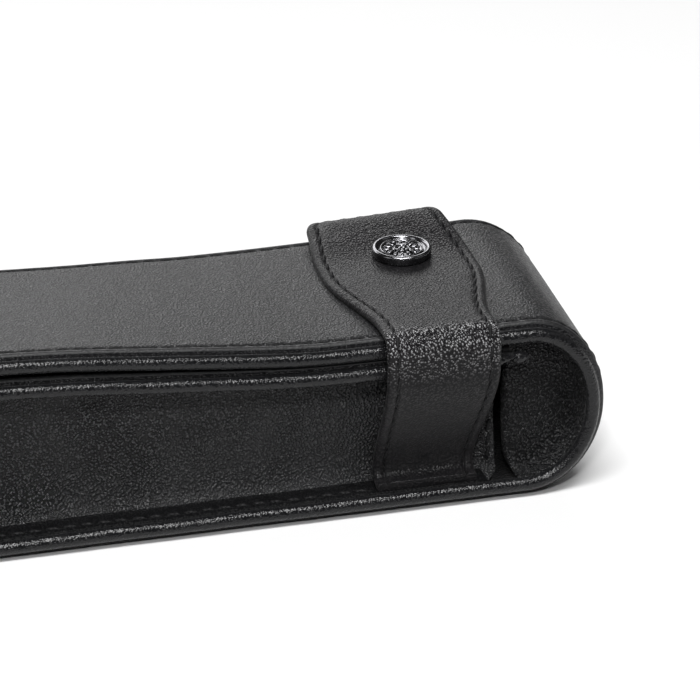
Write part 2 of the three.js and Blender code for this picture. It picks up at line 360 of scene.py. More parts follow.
def leather(name, dark, light, grain, depth, rough, polish, coat=0.0, fold_shine=0.0):
    """Grained leather: cells with creases between them, fine pores and soft wear. The cell tops are
    painted lighter and the creases darker, a painted highlight and painted shade of the grain.

    Coat is the wax left on the tops of the cells, and fold_shine smooths the strap's fold and switches on
    the bright glints painted on the cell tops there.
    """
    n = Nodes(name)
    pebble = n.pebbles(grain)
    pores = n.noise(grain * 3.1, 3.0, 0.7)
    folds = n.noise(120, 3.0, 0.55)
    blotch = n.noise(45, 3.0, 0.5)
    roughness = n.ramp(n.noise(grain * 0.6, 2.0), 0.3, 0.7, rough - 0.07, rough + 0.07)
    relief = pebble
    wax = n.ramp(pebble, 0.3, 0.9, 0.0, coat)
    # Painted light: cell tops lighter as painted highlights, creases darker as painted shade
    tone = n.mix(n.ramp(pebble, 0.35, 0.95), dark, light)
    wear_and_painted_glint = n.mix(n.ramp(blotch, 0.35, 0.75, 0.0, 0.5), tone, light)
    if fold_shine:
        mask = fold_mask(n)
        relief = n.maths("MULTIPLY", pebble, n.ramp(mask, 0.0, 1.0, 1.0, 2.6))
        roughness = n.maths("SUBTRACT", roughness, n.ramp(mask, 0.0, 1.0, 0.0, fold_shine))
        wax = n.maths("MULTIPLY", wax, n.ramp(mask, 0.0, 1.0, 1.0, 5.0), use_clamp=True)
        # Painted highlight: light grey glints painted on the cell tops along the fold, added to the soft
        # wear
        painted_glints = n.maths("MULTIPLY", mask, n.ramp(pebble, 0.55, 0.95))
        wear_and_painted_glint = n.mix(painted_glints, wear_and_painted_glint, FOLD_PAINTED_GLINT)
    normal = n.bump(folds, 0.07, 0.5)
    normal = n.bump(relief, depth, 1.0, normal)
    normal = n.bump(pores, depth * 0.3, 0.8, normal)
    if coat:
        n.drive(Coat_Weight=wax, Coat_Roughness=rough - fold_shine, Coat_Normal=normal)
    return n.drive(Base_Color=wear_and_painted_glint, Roughness=roughness, Normal=normal,
                   Specular_IOR_Level=polish, Sheen_Weight=0.03, Sheen_Roughness=0.5)


def fold_mask(n):
    """One along the strap's fold, where bending opens the grain and polishes it and where highlight
    glints are painted, else nothing.
    """
    place = n.add("ShaderNodeSeparateXYZ", {"Vector": n.place})
    ahead = n.ramp(place.outputs["Y"], (STRAP_FACE + 4.6) * MM, (STRAP_FACE + 1.2) * MM)
    above = n.ramp(place.outputs["Z"], (FOLD_TOP - 8.5) * MM, (FOLD_TOP - 1.5) * MM)
    return n.maths("MULTIPLY", ahead, above)


def thread_look():
    n = Nodes("waxed_thread")
    twist = n.add("ShaderNodeTexWave", {"Vector": n.place, "Scale": 900.0, "Distortion": 2.0,
                                        "Detail": 1.0}, bands_direction="DIAGONAL")
    fibre = n.noise(5000, 2.0)
    normal = n.bump(twist.outputs["Fac"], 0.08, 0.8)
    normal = n.bump(fibre, 0.03, 0.5, normal)
    tone = n.mix(fibre, (0.002, 0.002, 0.002), (0.008, 0.008, 0.009))
    return n.drive(Base_Color=tone, Roughness=0.6, Normal=normal, Specular_IOR_Level=0.2)


def metal_look(name, dark, light, rough):
    """Plated metal with fine brushing, faint smudges and dulled patches."""
    n = Nodes(name)
    smudge = n.noise(420, 3.0)
    grainy = n.noise(4200, 2.0)
    tone = n.mix(smudge, dark, light)
    roughness = n.ramp(smudge, 0.3, 0.7, rough - 0.05, rough + 0.08)
    normal = n.bump(grainy, 0.01, 0.35)
    return n.drive(Base_Color=tone, Roughness=roughness, Normal=normal, Metallic=1.0)


def floor_look():
    n = Nodes("studio_paper")
    tone = n.mix(n.noise(6, 2.0), (0.675, 0.675, 0.675), (0.69, 0.69, 0.69))
    return n.drive(Base_Color=tone, Roughness=0.75, Specular_IOR_Level=0.2)


TOP_LEATHER = leather(
    "top_leather", (0.0035, 0.0035, 0.004), (0.015, 0.015, 0.016),
    grain=2400, depth=0.08, rough=0.42, polish=0.22, coat=0.62)
MARGIN_LEATHER = leather(
    "margin_leather", (0.003, 0.003, 0.0035), (0.014, 0.014, 0.015),
    grain=2300, depth=0.04, rough=0.5, polish=0.4)
RIM_LEATHER = leather(
    "rim_leather", (0.003, 0.003, 0.0035), (0.010, 0.010, 0.011),
    grain=2400, depth=0.06, rough=0.175, polish=0.31)
STRAP_LEATHER = leather(
    "strap_leather", (0.0025, 0.0025, 0.003), (0.012, 0.011, 0.012),
    grain=2300, depth=0.07, rough=0.42, polish=0.14, coat=0.3, fold_shine=0.2)
LINING_LEATHER = leather(
    "lining_leather", (0.001, 0.001, 0.0012), (0.004, 0.004, 0.0045),
    grain=2100, depth=0.1, rough=0.45, polish=0.06)
# Its light colour, far above its dark one, is a strong painted highlight on the cell tops of the recessed
# wall
WALL_LEATHER = leather(
    "wall_leather", (0.001, 0.001, 0.0012), (0.042, 0.042, 0.044),
    grain=1950, depth=0.34, rough=0.21, polish=0.3, coat=1.0)
GUSSET_LEATHER = leather(
    "gusset_leather", (0.001, 0.001, 0.0011), (0.013, 0.013, 0.014),
    grain=1850, depth=0.34, rough=0.2, polish=0.13, coat=0.9)
THREAD = thread_look()
GUNMETAL = metal_look("gunmetal", (0.10, 0.10, 0.105), (0.20, 0.20, 0.21), 0.20)
NICKEL = metal_look("nickel", (0.50, 0.50, 0.51), (0.64, 0.63, 0.62), 0.28)


# Case shell ----------------------------------------------------------------

def half_section():
    """(y, depth) from the middle of the outer face round the rim roll to the inner face."""
    face = [(0.0, 0.0), (7.0, 0.0), (13.0, 0.0), (17.0, 0.0), (18.9, 0.0), (19.35, 0.05)]
    groove = [(19.6, 0.28), (STITCH_Y, 0.36), (20.0, 0.28), (20.25, 0.04)]
    margin = [(20.6, 0.04), (20.95, 0.14), (21.18, 0.5), (21.28, 1.12)]
    roll = []
    for angle in range(108, -109, -18):
        turn = math.radians(angle)
        roll.append((ROLL_Y + ROLL_RADIUS * math.cos(turn), ROLL_DEPTH - ROLL_RADIUS * math.sin(turn)))
    inside = [(20.95, 3.25), (20.5, PANEL), (17.0, PANEL), (9.0, PANEL), (0.0, PANEL)]
    return face + groove + margin + roll + inside


def full_section():
    """The whole closed ring of a panel's section."""
    half = half_section()
    left = [(-y, d) for y, d in half]
    return half + left[-2:0:-1]


def strip_line_flap():
    """Bottom panel, mouth bend and flap as (x, z) points of the outer face."""
    bottom = [(x, 0.0) for x in spaced(CLOSED_X, MOUTH_X, 3)][:-1]
    bend = []
    for angle in spaced(-90, 90, 3):
        turn = math.radians(angle)
        bend.append((MOUTH_X + MOUTH_REACH * math.cos(turn), MOUTH_RADIUS * (1 + math.sin(turn))))
    start = FLAP_END + END_ROUND
    flap = [(x, flap_top(x)) for x in spaced(MOUTH_X, start, 3)][1:]
    tip = []
    for angle in (25, 50, 70, 82, 88):
        tip.append((start - END_ROUND * math.sin(math.radians(angle)), flap_top(start)))
    return bottom + bend + flap + tip


def strip_line_case():
    """Closed bend and inner top panel as (x, z) points of the outer face."""
    radius = inner_top(CLOSED_X) / 2
    bend = []
    for angle in spaced(-90, -270, 4):
        turn = math.radians(angle)
        bend.append((CLOSED_X + CLOSED_REACH * math.cos(turn), radius * (1 + math.sin(turn))))
    top = [(x, inner_top(x)) for x in spaced(CLOSED_X, INNER_END, 3)][1:]
    return bend + top


# Where the section changes leather, as |y| and depth under the outer face
FACE, LINING, RIM, MARGIN = range(4)
LINING_EDGE = 21.0
LINING_DEPTH = 2.7
RIM_EDGE = 20.9
RIM_DEPTH = 1.1
MARGIN_EDGE = 19.9


def section_looks(section):
    """Which material each row of faces along the section takes."""
    looks = []
    for j, (y, d) in enumerate(section):
        next_y, next_d = section[(j + 1) % len(section)]
        if min(d, next_d) > LINING_DEPTH and max(abs(y), abs(next_y)) < LINING_EDGE:
            looks.append(LINING)
        elif abs(y) > RIM_EDGE and d > RIM_DEPTH:
            looks.append(RIM)
        elif abs(y) > MARGIN_EDGE:
            looks.append(MARGIN)
        else:
            looks.append(FACE)
    return looks


def strip_piece(name, line, turn, proud=0.0):
    """A panel strip: the section carried along a line, its end rounded, its top wider by proud."""
    section = full_section()
    points = []
    stations = with_normals(line, turn)
    last_x = line[-1][0]
    for (x, z), (nx, nz) in stations:
        squeeze = 1.0
        if z > BEND_MIDDLE_Z:
            share = clamp(1 - abs(x - last_x) / END_ROUND)
            squeeze = math.sqrt(max(0.02, 1 - share * share))
        spread = 1 + proud / HALF_WIDTH * ease((z - 15) / 10)
        for y, d in section:
            depth = PANEL / 2 + (d - PANEL / 2) * squeeze
            points.append(settle(x - nx * depth, y * spread, z - nz * depth))
    faces = loft_faces(len(stations), len(section))
    marks = section_looks(section) * (len(stations) - 1) + [RIM, RIM]
    looks = [TOP_LEATHER, LINING_LEATHER, RIM_LEATHER, MARGIN_LEATHER]
    return make_piece(name, points, faces, looks, marks)


def build_shell():
    flap = strip_piece("shell_flap", strip_line_flap(), 1)
    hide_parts("flap_leather", "flap_lining", "flap_board", "bottom_board")
    case = strip_piece("shell_case", strip_line_case(), -1, 0.5)
    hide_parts("case_leather", "case_lining", "inner_top_board")
    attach(case, "case")
    return flap


# Stitches ------------------------------------------------------------------

STITCH_LENGTH = 2.5
STITCH_RADIUS = 0.34
STITCH_SLANT = 0.22
STITCH_SINK = 0.612
STITCH_SIDES = 8
THREAD_DEPTH = 0.14
# (place along the stitch, share of its radius)
STITCH_RINGS = [(-0.5, 0.25), (-0.44, 0.7), (-0.25, 0.95), (0.0, 1.0),
                (0.25, 0.95), (0.44, 0.7), (0.5, 0.25)]


def stitch_points(middle, along, across):
    """One stitch: a bowed capsule that dips into the leather at both ends."""
    up = across.cross(along).normalized()
    side = along.cross(up).normalized()
    slant = (along * math.cos(STITCH_SLANT) + side * math.sin(STITCH_SLANT)).normalized()
    beside = up.cross(slant).normalized()
    points = []
    for place, size in STITCH_RINGS:
        sink = STITCH_SINK * place * place
        centre = middle + slant * (place * STITCH_LENGTH) - up * sink
        for k in range(STITCH_SIDES):
            turn = 2 * math.pi * k / STITCH_SIDES
            outward = beside * math.cos(turn) + up * math.sin(turn)
            points.append(centre + outward * STITCH_RADIUS * size)
    return points


def thread_piece(name, stitches):
    """One object from many (middle, along, across) stitches."""
    points = []
    faces = []
    for middle, along, across in stitches:
        base = len(points)
        points += stitch_points(middle, along, across)
        faces += [tuple(base + v for v in face) for face in loft_faces(len(STITCH_RINGS), STITCH_SIDES)]
    return make_piece(name, points, faces, [THREAD])


def strip_stitches(line, turn, y, depth, flip=1, keep=None):
    """Stitches along a panel strip at a width y and a depth under its outer face."""
    stations = with_normals(line, turn)
    found = []
    for i, share in walk(line, STITCH_PITCH, STITCH_PITCH / 2):
        (ax, az), (anx, anz) = stations[i]
        (bx, bz), (bnx, bnz) = stations[i + 1]
        x = ax + (bx - ax) * share
        z = az + (bz - az) * share
        nx = anx + (bnx - anx) * share
        nz = anz + (bnz - anz) * share
        if keep and not keep(x, z):
            continue
        middle = settle(x - nx * depth, y, z - nz * depth)
        ahead = settle(x - nx * depth + (bx - ax) * 0.1, y, z - nz * depth + (bz - az) * 0.1)
        along = (ahead - middle).normalized()
        out = Vector((nx, 0, nz)) * flip
        found.append((middle, along, along.cross(out).normalized()))
    return found


def on_flap_sides(x, z):
    """Whether a side stitch at (x, z) is clear of the row across the flap's end."""
    return z < BEND_MIDDLE_Z or x > FLAP_END + 3


def build_shell_thread(flap):
    outer = []
    line = strip_line_flap()
    for y in (-STITCH_Y, STITCH_Y):
        outer += strip_stitches(line, 1, y, THREAD_DEPTH, keep=on_flap_sides)
    end_x = FLAP_END + STITCH_INSET
    inside = STITCH_Y - STITCH_PITCH / 2
    for y in spaced(-inside, inside, STITCH_PITCH):
        place = settle(end_x, y, flap_top(end_x) + 0.1)
        outer.append((place, Vector((0, 1, 0)), Vector((1, 0, 0))))
    flap_thread = thread_piece("flap_stitches", outer)
    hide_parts("flap_thread")
    for obj in (flap, flap_thread):
        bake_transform(obj)
    case_line = strip_line_case()
    case_outer = []
    for y in (-STITCH_Y, STITCH_Y):
        case_outer += strip_stitches(case_line, -1, y, THREAD_DEPTH)
    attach(thread_piece("case_stitches", case_outer), "case")


# Gussets -------------------------------------------------------------------

# (inset from the panel, |y|) rings over the ledge, down the fillet and over the wall
LEDGE_RINGS = [(0.03, 20.9), (0.4, 20.8), (0.75, 20.3), (0.8, 19.6), (0.55, 19.2), (0.8, 18.8),
               (0.85, 17.8), (1.2, 16.6), (2.1, 15.6), (3.6, 15.05), (6.0, 14.85), (9.0, 14.95)]
MOUTH_RINGS = [(0.0, 13.6), (0.0, 15.4), (0.2, 16.2), (0.7, 16.5), (1.3, 16.45), (1.6, 16.2),
               (1.9, 16.4), (2.6, 16.0), (3.6, 15.5), (5.0, 15.2), (6.5, 15.0), (9.0, 14.95)]
LEDGE_ROWS = 7
WALL_Y = 15.0
GUSSET_THICK = 0.5
GUSSET_SAG = 0.5
GUSSET_PUCKER = 0.1
GUSSET_MOUTH_X = 63.6
EAR_OVERHANG = 3.3
EAR_STITCH = 1.2
EAR_MIDDLE = MOUTH_X + 2.5
EAR_DOME_Y = 17.8
EAR_FLANGE_Y = 20.8
EAR_GAP = 0.05
EAR_PUCKER = 0.25
EAR_RINGS = 18
EAR_SPOKES = 72
LEDGE_THREAD_DEPTH = PANEL + 0.72
LIP_STITCH_X = GUSSET_MOUTH_X - 1.9
LIP_STITCH_Y = 16.6
LIP_STITCH_PITCH = 2.6
DIVIDER_HALF = 0.45


def gusset_outline():
    """(x, z, mouth share) round the inside of the case, anticlockwise from the bottom right."""
    outline = []
    for x in spaced(GUSSET_MOUTH_X, CLOSED_X, 2.5):
        outline.append((x, PANEL, 1 - ease((GUSSET_MOUTH_X - x) / 3)))
    radius = inner_top(CLOSED_X) / 2
    for angle in spaced(-90, -270, 5)[1:-1]:
        turn = math.radians(angle)
        x = CLOSED_X + (CLOSED_REACH - PANEL) * math.cos(turn)
        outline.append((x, radius + (radius - PANEL) * math.sin(turn), 0.0))
    for x in spaced(CLOSED_X, GUSSET_MOUTH_X, 2.5):
        outline.append((x, inner_top(x) - PANEL, 1 - ease((GUSSET_MOUTH_X - x) / 3)))
    top = inner_top(GUSSET_MOUTH_X) - PANEL
    for z in spaced(top, PANEL, 2.0)[1:-1]:
        bow = math.sin(math.pi * (z - PANEL) / (top - PANEL))
        outline.append((GUSSET_MOUTH_X - 0.6 * bow, z, 1.0))
    return outline


def gusset_point(x, z, mouth, k, side):
    """A point of the gusset's row k, reached from the outline's (x, z) towards the gusset's core."""
    core_x = max(CLOSED_X + 3, min(GUSSET_MOUTH_X - 12, x))
    core = Vector((core_x, 0, inner_top(core_x) / 2))
    edge = Vector((x, 0, z))
    flat = core
    depth = WALL_Y
    if k < len(LEDGE_RINGS):
        ledge, lip = LEDGE_RINGS[k], MOUTH_RINGS[k]
        flat = edge + (core - edge).normalized() * (ledge[0] + (lip[0] - ledge[0]) * mouth)
        depth = ledge[1] + (lip[1] - ledge[1]) * mouth
    slack = ease(16.0 - depth)
    sag = noise.noise(Vector((flat.x / 11, side * 3, flat.z / 7))) * GUSSET_SAG
    pucker = noise.noise(Vector((flat.x / 3.2, side * 9, flat.z / 3.8))) * GUSSET_PUCKER
    return settle(flat.x, side * (depth + (sag + pucker) * slack), flat.z)


def gusset_piece(name, side):
    """The recessed side wall with its sewn ledge and its free lip at the mouth."""
    outline = gusset_outline()
    count = len(outline)
    rows = len(LEDGE_RINGS) + 1
    points = [gusset_point(*place, k, side) for k in range(rows) for place in outline]
    faces = loft_faces(rows, count, capped=False)
    marks = []
    for i in range(len(faces)):
        on_ledge = i < LEDGE_ROWS * count and outline[i % count][2] < 0.5
        marks.append(1 if on_ledge else 0)
    obj = make_piece(name, points, faces, [WALL_LEATHER, LINING_LEATHER], marks)
    if obj.data.polygons[len(obj.data.polygons) // 2].normal.y * side < 0:
        obj.data.flip_normals()
    thicken(obj, GUSSET_THICK)
    return obj


def thicken(obj, amount):
    """Gives a sheet its thickness on the side away from its normals."""
    modifier = obj.modifiers.new("thickness", "SOLIDIFY")
    modifier.thickness = amount * MM
    modifier.offset = -1


def ear_edge(turn):
    """Outline of the ear at an angle: the bend's inner side, and a full curve at the mouth."""
    up = math.sin(turn)
    z = MOUTH_RADIUS + (MOUTH_RADIUS - PANEL - EAR_GAP) * up
    if math.cos(turn) > 0:
        return MOUTH_X + (MOUTH_REACH - PANEL - EAR_GAP) * math.cos(turn), z
    return MOUTH_X - EAR_OVERHANG * math.sqrt(max(0.0, 1 - abs(up) ** 5)), z


def ear_point(turn, r, side):
    """A point of the ear's face: r is 1 at its outline and 0 at its middle."""
    edge_x, edge_z = ear_edge(turn)
    x = EAR_MIDDLE + (edge_x - EAR_MIDDLE) * r
    z = MOUTH_RADIUS + (edge_z - MOUTH_RADIUS) * r
    inset = math.hypot(edge_x - x, edge_z - z)
    dome = EAR_DOME_Y - 2.2 * ((x - MOUTH_X - 1) / 11) ** 2 - 0.6 * ((z - MOUTH_RADIUS) / 14) ** 2
    sewn = max(ease((edge_x - MOUTH_X + 0.8) / 2.5), ease((abs(math.sin(turn)) - 0.84) / 0.12))
    flange = (EAR_FLANGE_Y - dome) * math.exp(-((inset / 1.2) ** 2))
    groove = 0.3 * math.exp(-(((inset - EAR_STITCH) / 0.3) ** 2))
    turned = 1.6 * max(0.0, 1 - inset / 0.9) ** 2
    y = dome + sewn * (flange - groove) - (1 - sewn) * turned
    pucker = noise.noise(Vector((x / 5, side * 5, z / 5))) * EAR_PUCKER
    return settle(x, side * (y + pucker * clamp(inset / 2)), z)


def ear_piece(name, side):
    """The rounded leather cheek that fills the mouth bend beside the pens."""
    points = []
    for i in range(EAR_RINGS + 1):
        r = 1 - (i / EAR_RINGS) ** 1.3
        for j in range(EAR_SPOKES):
            points.append(ear_point(2 * math.pi * (j + 0.5) / EAR_SPOKES, r, side))
    faces = loft_faces(EAR_RINGS + 1, EAR_SPOKES, capped=False)
    obj = make_piece(name, points, faces, [GUSSET_LEATHER])
    if sum(p.normal.y for p in obj.data.polygons) * side < 0:
        obj.data.flip_normals()
    thicken(obj, GUSSET_THICK)
    return obj


def ear_stitches(side):
    """The stitch arc on the ear's flange, inside the mouth bend."""
    found = []
    for angle in spaced(-78, 78, 13):
        turn = math.radians(angle)
        edge_x, edge_z = ear_edge(turn)
        r = 1 - EAR_STITCH / math.hypot(edge_x - EAR_MIDDLE, edge_z - MOUTH_RADIUS)
        middle = ear_point(turn, r, side)
        along = (ear_point(turn + 0.02, r, side) - middle).normalized()
        outward = Vector((-0.6 * math.cos(turn), side * 0.8, -0.6 * math.sin(turn))).normalized()
        found.append((middle + outward * 0.1, along, along.cross(outward).normalized()))
    return found


def rim_tip(name, side):
    """The tapered end of the inner panel's rim roll, past the tied-off stub."""
    profile = [(0.0, 0.75), (0.15, 0.7), (0.35, 1.05), (0.8, 1.2),
               (1.5, 1.12), (2.2, 0.85), (2.8, 0.5), (3.2, 0.1)]
    sides = 16
    points = []
    for along, radius in profile:
        x = INNER_END - 0.1 + along
        for k in range(sides):
            turn = 2 * math.pi * k / sides
            y = side * (ROLL_Y + 0.5 + radius * math.cos(turn))
            points.append(settle(x, y, inner_top(x) - ROLL_DEPTH + radius * math.sin(turn)))
    return make_piece(name, points, loft_faces(len(profile), sides), [RIM_LEATHER])


def ledge_line():
    line = [(x, 0.0) for x in spaced(MOUTH_X, CLOSED_X, 3)]
    return line[:-1] + strip_line_case()[:-2]


def build_gussets():
    for label, side in (("front", -1), ("back", 1)):
        dish = gusset_piece(f"gusset_dish_{label}", side)
        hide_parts(f"gusset_{label}")
        ear = ear_piece(f"gusset_ear_{label}", side)
        tip = rim_tip(f"rim_tip_{label}", side)
        clear_to = STRAP_X - STRAP_HALF - 1 if side < 0 else GUSSET_MOUTH_X - 1
        ledge = strip_stitches(ledge_line(), -1, side * LEDGE_STITCH_Y, LEDGE_THREAD_DEPTH, -1,
                               lambda x, z: x < (clear_to if z < 10 else GUSSET_MOUTH_X - 1))
        run = ledge + ear_stitches(side)
        lip = []
        for z in spaced(7, 26, LIP_STITCH_PITCH):
            place = settle(LIP_STITCH_X, side * LIP_STITCH_Y, z)
            lip.append((place, Vector((0, 0, 1)), Vector((-side, 0, 0))))
        thread = thread_piece(f"ledge_stitches_{label}", run + lip)
        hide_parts(f"case_thread_{label}")
        for obj in (dish, ear, tip, thread):
            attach(obj, "case")


def build_divider():
    """The soft upright leaf between the two pens."""
    a, b = node_box("pen_divider")
    points = []
    stations = spaced(a.x, b.x, 2.5)
    climb = [i / 8 for i in range(9)]
    foot = PANEL + 0.15
    for x in stations:
        height = inner_top(x) - PANEL - 0.2 - foot
        sway = 0.7 * math.sin(x / 17) + 0.3 * math.sin(x / 6.1)
        for face, order in ((-DIVIDER_HALF, climb), (DIVIDER_HALF, climb[::-1])):
            for share in order:
                y = sway * math.sin(math.pi * share) + face
                points.append(settle(x, y, foot + height * share))
    faces = loft_faces(len(stations), 2 * len(climb))
    obj = make_piece("divider_leaf", points, faces, [LINING_LEATHER])
    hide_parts("pen_divider")
    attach(obj, "case")


# Strap ---------------------------------------------------------------------

def smooth_line(corners, step=0.35, radius=1.3):
    """A polyline resampled evenly, with its corners rounded by averaging neighbours twice."""
    line = []
    for i, share in walk(corners, step):
        a, b = corners[i], corners[i + 1]
        line.append((a[0] + (b[0] - a[0]) * share, a[1] + (b[1] - a[1]) * share))
    reach = round(radius / step)
    for _ in range(2):
        rounded = []
        for i in range(len(line)):
            near = min(reach, i, len(line) - 1 - i)
            group = line[i - near:i + near + 1]
            rounded.append((sum(p[0] for p in group) / len(group), sum(p[1] for p in group) / len(group)))
        line = rounded
    return line


def strap_line():
    """Mid-thickness side view (y, z) from the foot on the ledge to the end of the tab."""
    foot = [(-20.5, 4.4), (-18.2, 4.6), (-16.7, 6.4), (-17.9, 10.5), (-24.2, 22.5), (STRAP_FACE, 27.0)]
    fold = []
    for angle in spaced(180, 90, 9):
        turn = math.radians(angle)
        fold.append((STRAP_FACE + FOLD_RADIUS * (1 + math.cos(turn)),
                     FOLD_TOP + FOLD_RADIUS * (math.sin(turn) - 1)))
    tab = [(SNAP.y, FOLD_TOP), (HALF_WIDTH - 1.0, FOLD_TOP + 0.8), (HALF_WIDTH + 3.0, FOLD_TOP - 0.7)]
    return smooth_line(foot + fold + tab)


def strap_sides(y, z, to_end):
    """Left and right edges of the strap at a place on its line."""
    if z < RISER_TOP_Z:
        low = 1 - ease((z - 4) / 26)
        return STRAP_X - STRAP_HALF - FOOT_FLARE * low, STRAP_X + STRAP_HALF - FOOT_CUT * low
    spread = ease((y + 20) / 22)
    half = STRAP_HALF + (TAB_HALF - STRAP_HALF) * spread - TAB_TAPER * ease((y - 5) / 20)
    if to_end < TAB_CORNER:
        half -= TAB_CORNER - math.sqrt(TAB_CORNER ** 2 - (TAB_CORNER - to_end) ** 2)
    return STRAP_X - half, STRAP_X + half


def strap_height(inset):
    """Half thickness of the strap at a distance from its nearest edge."""
    if inset < 1.0:
        return STRAP_RISE * math.sqrt(max(0.0, 1 - (1 - inset) ** 2))
    groove = STRAP_GROOVE * math.exp(-((inset - STRAP_STITCH) / 0.22) ** 2)
    return STRAP_RISE - groove + 0.05 * ease((inset - 2.2) / 3)


# Distances from the strap's edge at which its surface has points
STRAP_INSETS = [0.0, 0.06, 0.25, 0.55, 1.0, 1.45, 1.7, 1.82, 1.95, 2.08, 2.2, 2.5, 3.4, 5.5, 8.0]


def strap_frames():
    """(y, z, normal, distance to the end) along the strap."""
    line = strap_line()
    total = [0.0]
    for i in range(1, len(line)):
        total.append(total[-1] + math.dist(line[i - 1], line[i]))
    frames = []
    for i, (y, z) in enumerate(line):
        y0, z0 = line[max(0, i - 1)]
        y1, z1 = line[min(len(line) - 1, i + 1)]
        size = math.hypot(y1 - y0, z1 - z0)
        frames.append((y, z, (-(z1 - z0) / size, (y1 - y0) / size), total[-1] - total[i]))
    return frames


def strap_point(frame, x, height):
    """A point at a height over the strap's middle line, with the flap's lift under the tab."""
    y, z, (ny, nz), _ = frame
    raised = lift(x, y) * ease((z - 34) / 3) * ease((y - 2) / 14)
    wave = noise.noise(Vector((x / 12, y / 12, z / 12 + 7))) * 0.12
    return Vector((x, y + ny * (height + wave), z + nz * (height + wave) + raised))


def strap_ring(frame, tuck=0.0):
    """One ring of the strap's surface, drawn in by tuck where it slides under the next piece."""
    left, right = strap_sides(frame[0], frame[1], frame[3])
    left, right = left + tuck, right - tuck
    half = (right - left) / 2
    insets = [e for e in STRAP_INSETS if e < half - 0.5] + [half]
    insets += [half] * (len(STRAP_INSETS) + 1 - len(insets))
    end = frame[3]
    upper = [(left + e, strap_height(min(e, end))) for e in insets]
    upper += [(right - e, strap_height(min(e, end))) for e in insets[-2::-1]]
    lower = [(x, -min(height, STRAP_RISE)) for x, height in upper[-2:0:-1]]
    thin = 1 - tuck
    return [strap_point(frame, x, height * thin) for x, height in upper + lower]


def strap_piece(name, frames, tucked=()):
    """One length of the strap, with rings that slide under the next length where asked."""
    rings = [strap_ring(f) for f in frames] + [strap_ring(f, 0.04) for f in tucked]
    points = [p for ring in rings for p in ring]
    faces = loft_faces(len(rings), len(rings[0]))
    return make_piece(name, points, faces, [STRAP_LEATHER])


def strap_stitches(frames):
    """Stitches down both sides of the strap."""
    line = [(f[0], f[1]) for f in frames]
    found = []
    for i, _ in walk(line, STITCH_PITCH, STITCH_PITCH / 2):
        here, ahead = frames[i], frames[i + 1]
        if here[1] < STRAP_STITCH_FROM_Z or here[3] < STRAP_STITCH + STITCH_PITCH / 2:
            continue
        out = Vector((0, *here[2]))
        for pick, sign in ((0, 1), (1, -1)):
            x = strap_sides(*here[:2], here[3])[pick] + sign * STRAP_STITCH
            next_x = strap_sides(*ahead[:2], ahead[3])[pick] + sign * STRAP_STITCH
            middle = strap_point(here, x, STRAP_THREAD_RISE)
            along = (strap_point(ahead, next_x, STRAP_THREAD_RISE) - middle).normalized()
            found.append((middle, along, along.cross(out).normalized()))
    return found


def end_stitches(frames):
    """Stitches across the tab's end."""
    place = min(frames, key=lambda f: abs(f[3] - STRAP_STITCH))
    left, right = strap_sides(place[0], place[1], place[3])
    along = Vector((1, 0, 0))
    across = along.cross(Vector((0, *place[2]))).normalized()
    found = []
    for x in spaced(left + STITCH_PITCH, right - STITCH_PITCH, STITCH_PITCH):
        found.append((strap_point(place, x, STRAP_THREAD_RISE), along, across))
    return found


def build_strap():
    frames = strap_frames()
    split = next(i for i, f in enumerate(frames) if f[1] > STRAP_SPLIT_Z)
    lap = frames[split + 1:split + 1 + SPLIT_LAP]
    riser = strap_piece("strap_riser_skin", frames[:split + 1], lap)
    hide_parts("strap_foot", "riser_leather", "riser_lining")
    riser_thread = thread_piece("riser_stitches", strap_stitches(frames[:split + 1]))
    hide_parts("riser_thread_left", "riser_thread_right")
    tab = strap_piece("strap_tab_skin", frames[split:])
    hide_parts("tab_leather", "tab_lining")
    tab_thread = thread_piece("tab_stitches", strap_stitches(frames[split:]) + end_stitches(frames))
    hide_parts("tab_thread")
    for obj in (riser, riser_thread):
        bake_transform(obj)
    for obj in (tab, tab_thread):
        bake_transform(obj)


# Press stud ----------------------------------------------------------------

def turned_points(profile, base, segments):
    """Rings of points round the stud's axis, one for each (radius, height) pair."""
    points = []
    for radius, height in profile:
        for k in range(segments):
            turn = 2 * math.pi * k / segments
            out = Vector((math.cos(turn), math.sin(turn), 0)) * radius
            points.append(SNAP + out + Vector((0, 0, base + height)))
    return points


def turned_piece(name, profile, base, look, segments=96):
    """A turned part from (radius, height) pairs, on the stud's axis."""
    points = turned_points(profile, base, segments)
    return make_piece(name, points, loft_faces(len(profile), segments), [look])


def cap_profile():
    """Rounded rim, thin shadow groove and recessed floor of the snap cap."""
    outer = [(CAP_RADIUS - 0.45, 0.0), (CAP_RADIUS - 0.1, 0.1), (CAP_RADIUS, 0.4), (CAP_RADIUS, 1.05)]
    rim = []
    for angle in spaced(0, 165, 15):
        turn = math.radians(angle)
        rim.append((CAP_RADIUS - 0.5 + 0.5 * math.cos(turn), 1.25 + 0.5 * math.sin(turn)))
    floor = [(4.45, 1.25), (4.3, 1.12), (2.0, 1.12), (0.01, 1.12)]
    return outer + rim + floor


def ring_profile(radius, width, base, height):
    return [(radius - width, base), (radius - width * 0.7, base + height * 0.8), (radius, base + height),
            (radius + width * 0.7, base + height * 0.8), (radius + width, base)]


BEAD_PROFILE = [(0.75, 1.0), (0.68, 1.32), (0.5, 1.46), (0.3, 1.38), (0.01, 1.22)]
RAYS = 14
# (radius, half width, top height) along a ray
RAY_STATIONS = [(1.65, 0.12, 1.2), (1.9, 0.2, 1.5), (3.1, 0.4, 1.52), (3.5, 0.2, 1.2)]


def ray_points(turn, base):
    """One flat-topped ray of the sunburst."""
    along = Vector((math.cos(turn), math.sin(turn), 0))
    beside = Vector((-along.y, along.x, 0))
    points = []
    for radius, wide, high in RAY_STATIONS:
        centre = Vector((SNAP.x, SNAP.y, base)) + along * radius
        for offset, tall in ((-1, 1.0), (-0.6, high), (0.6, high), (1, 1.0)):
            points.append(centre + beside * (offset * wide) + Vector((0, 0, tall)))
    return points


